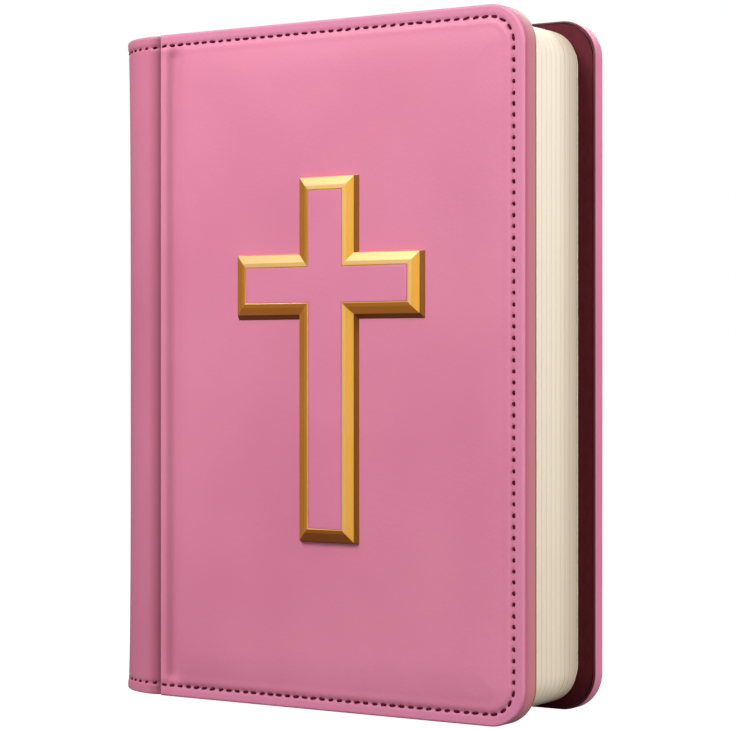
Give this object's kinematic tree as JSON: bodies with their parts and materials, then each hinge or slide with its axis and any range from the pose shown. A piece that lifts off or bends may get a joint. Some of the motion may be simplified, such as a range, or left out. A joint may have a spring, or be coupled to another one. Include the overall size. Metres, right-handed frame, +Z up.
{
  "type": "prayer book",
  "caption": "Small upright prayer book with padded pink leatherette covers, dark stitching, half-round spine, rounded page corners and a raised bevelled gold cross frame on the front.",
  "frame": {"origin": "middle of the closed book's box, at the tail edges that it stands on", "axes": "+Z up along the spine, front cover faces -Y, spine at -X, fore-edge at +X"},
  "size_m": [0.128, 0.042, 0.17],
  "materials": {
    "leatherette": "soft satin, fine grain",
    "lining": "matte",
    "board": "matte",
    "foam": "matte",
    "stitch_thread": "soft satin",
    "linen": "matte weave",
    "band_silk": "satin",
    "kraft_paper": "matte",
    "pages": "matte",
    "gold_metal": "polished",
    "steel": "satin"
  },
  "bodies": {
    "spine_block": {"spine_leather": "leatherette", "spine_card": "board", "spine_lining": "lining", "spine_stitching": "stitch_thread", "hollow_tube": "kraft_paper", "mull": "linen", "sewing_tapes": "linen", "sewing_thread": "linen", "bound_folds": "pages", "headband": "band_silk", "tailband": "band_silk"},
    "front_cover": {"front_leather": "leatherette", "front_foam": "foam", "front_board": "board", "front_lining": "lining", "front_stitching": "stitch_thread", "cross_frame": "gold_metal", "cross_inlay": "leatherette", "cross_washers": "steel"},
    "back_cover": {"back_leather": "leatherette", "back_foam": "foam", "back_board": "board", "back_lining": "lining", "back_stitching": "stitch_thread"},
    "front_endpaper": {"front_endpaper": "pages"},
    "back_endpaper": {"back_endpaper": "pages"},
    "section_01": {"section_01": "pages"},
    "section_02": {"section_02": "pages"},
    "section_03": {"section_03": "pages"},
    "section_04": {"section_04": "pages"},
    "section_05": {"section_05": "pages"},
    "section_06": {"section_06": "pages"},
    "section_07": {"section_07": "pages"},
    "section_08": {"section_08": "pages"},
    "section_09": {"section_09": "pages"},
    "section_10": {"section_10": "pages"},
    "section_11": {"section_11": "pages"},
    "section_12": {"section_12": "pages"}
  },
  "joints": [
    {"name": "front_cover_hinge", "type": "hinge", "parent": "spine_block", "child": "front_cover", "pos_m": [-0.04398, -0.01795, 0], "axis": [0, 0, -1], "range_deg": [0, 175]},
    {"name": "back_cover_hinge", "type": "hinge", "parent": "spine_block", "child": "back_cover", "pos_m": [-0.04398, 0.02095, 0], "axis": [0, 0, 1], "range_deg": [0, 175]},
    {"name": "front_endpaper_turn", "type": "hinge", "parent": "spine_block", "child": "front_endpaper", "pos_m": [-0.04197, -0.0116, 0], "axis": [0, 0, -1], "range_deg": [0, 88]},
    {"name": "back_endpaper_turn", "type": "hinge", "parent": "spine_block", "child": "back_endpaper", "pos_m": [-0.04197, 0.0163, 0], "axis": [0, 0, 1], "range_deg": [0, 88]},
    {"name": "section_01_turn", "type": "hinge", "parent": "spine_block", "child": "section_01", "pos_m": [-0.04177, -0.00926, 0], "axis": [0, 0, -1], "range_deg": [0, 81]},
    {"name": "section_02_turn", "type": "hinge", "parent": "spine_block", "child": "section_02", "pos_m": [-0.04177, -0.00694, 0], "axis": [0, 0, -1], "range_deg": [0, 67]},
    {"name": "section_03_turn", "type": "hinge", "parent": "spine_block", "child": "section_03", "pos_m": [-0.04177, -0.00462, 0], "axis": [0, 0, -1], "range_deg": [0, 53]},
    {"name": "section_04_turn", "type": "hinge", "parent": "spine_block", "child": "section_04", "pos_m": [-0.04177, -0.00231, 0], "axis": [0, 0, -1], "range_deg": [0, 39]},
    {"name": "section_05_turn", "type": "hinge", "parent": "spine_block", "child": "section_05", "pos_m": [-0.04177, 0.00001, 0], "axis": [0, 0, -1], "range_deg": [0, 25]},
    {"name": "section_06_turn", "type": "hinge", "parent": "spine_block", "child": "section_06", "pos_m": [-0.04177, 0.00232, 0], "axis": [0, 0, -1], "range_deg": [0, 11]},
    {"name": "section_07_turn", "type": "hinge", "parent": "spine_block", "child": "section_07", "pos_m": [-0.04177, 0.00237, 0], "axis": [0, 0, 1], "range_deg": [0, 11]},
    {"name": "section_08_turn", "type": "hinge", "parent": "spine_block", "child": "section_08", "pos_m": [-0.04177, 0.00469, 0], "axis": [0, 0, 1], "range_deg": [0, 25]},
    {"name": "section_09_turn", "type": "hinge", "parent": "spine_block", "child": "section_09", "pos_m": [-0.04177, 0.00701, 0], "axis": [0, 0, 1], "range_deg": [0, 39]},
    {"name": "section_10_turn", "type": "hinge", "parent": "spine_block", "child": "section_10", "pos_m": [-0.04177, 0.00932, 0], "axis": [0, 0, 1], "range_deg": [0, 53]},
    {"name": "section_11_turn", "type": "hinge", "parent": "spine_block", "child": "section_11", "pos_m": [-0.04177, 0.01164, 0], "axis": [0, 0, 1], "range_deg": [0, 67]},
    {"name": "section_12_turn", "type": "hinge", "parent": "spine_block", "child": "section_12", "pos_m": [-0.04177, 0.01396, 0], "axis": [0, 0, 1], "range_deg": [0, 81]}
  ],
  "couplings": [
    {"joint": "front_endpaper_turn", "follows": "front_cover_hinge", "ratio": 0.5},
    {"joint": "back_endpaper_turn", "follows": "back_cover_hinge", "ratio": 0.5},
    {"joint": "section_01_turn", "follows": "front_cover_hinge", "ratio": 0.46},
    {"joint": "section_02_turn", "follows": "front_cover_hinge", "ratio": 0.38},
    {"joint": "section_03_turn", "follows": "front_cover_hinge", "ratio": 0.3},
    {"joint": "section_04_turn", "follows": "front_cover_hinge", "ratio": 0.22},
    {"joint": "section_05_turn", "follows": "front_cover_hinge", "ratio": 0.14},
    {"joint": "section_06_turn", "follows": "front_cover_hinge", "ratio": 0.06},
    {"joint": "section_07_turn", "follows": "back_cover_hinge", "ratio": 0.06},
    {"joint": "section_08_turn", "follows": "back_cover_hinge", "ratio": 0.14},
    {"joint": "section_09_turn", "follows": "back_cover_hinge", "ratio": 0.22},
    {"joint": "section_10_turn", "follows": "back_cover_hinge", "ratio": 0.3},
    {"joint": "section_11_turn", "follows": "back_cover_hinge", "ratio": 0.38},
    {"joint": "section_12_turn", "follows": "back_cover_hinge", "ratio": 0.46}
  ]
}
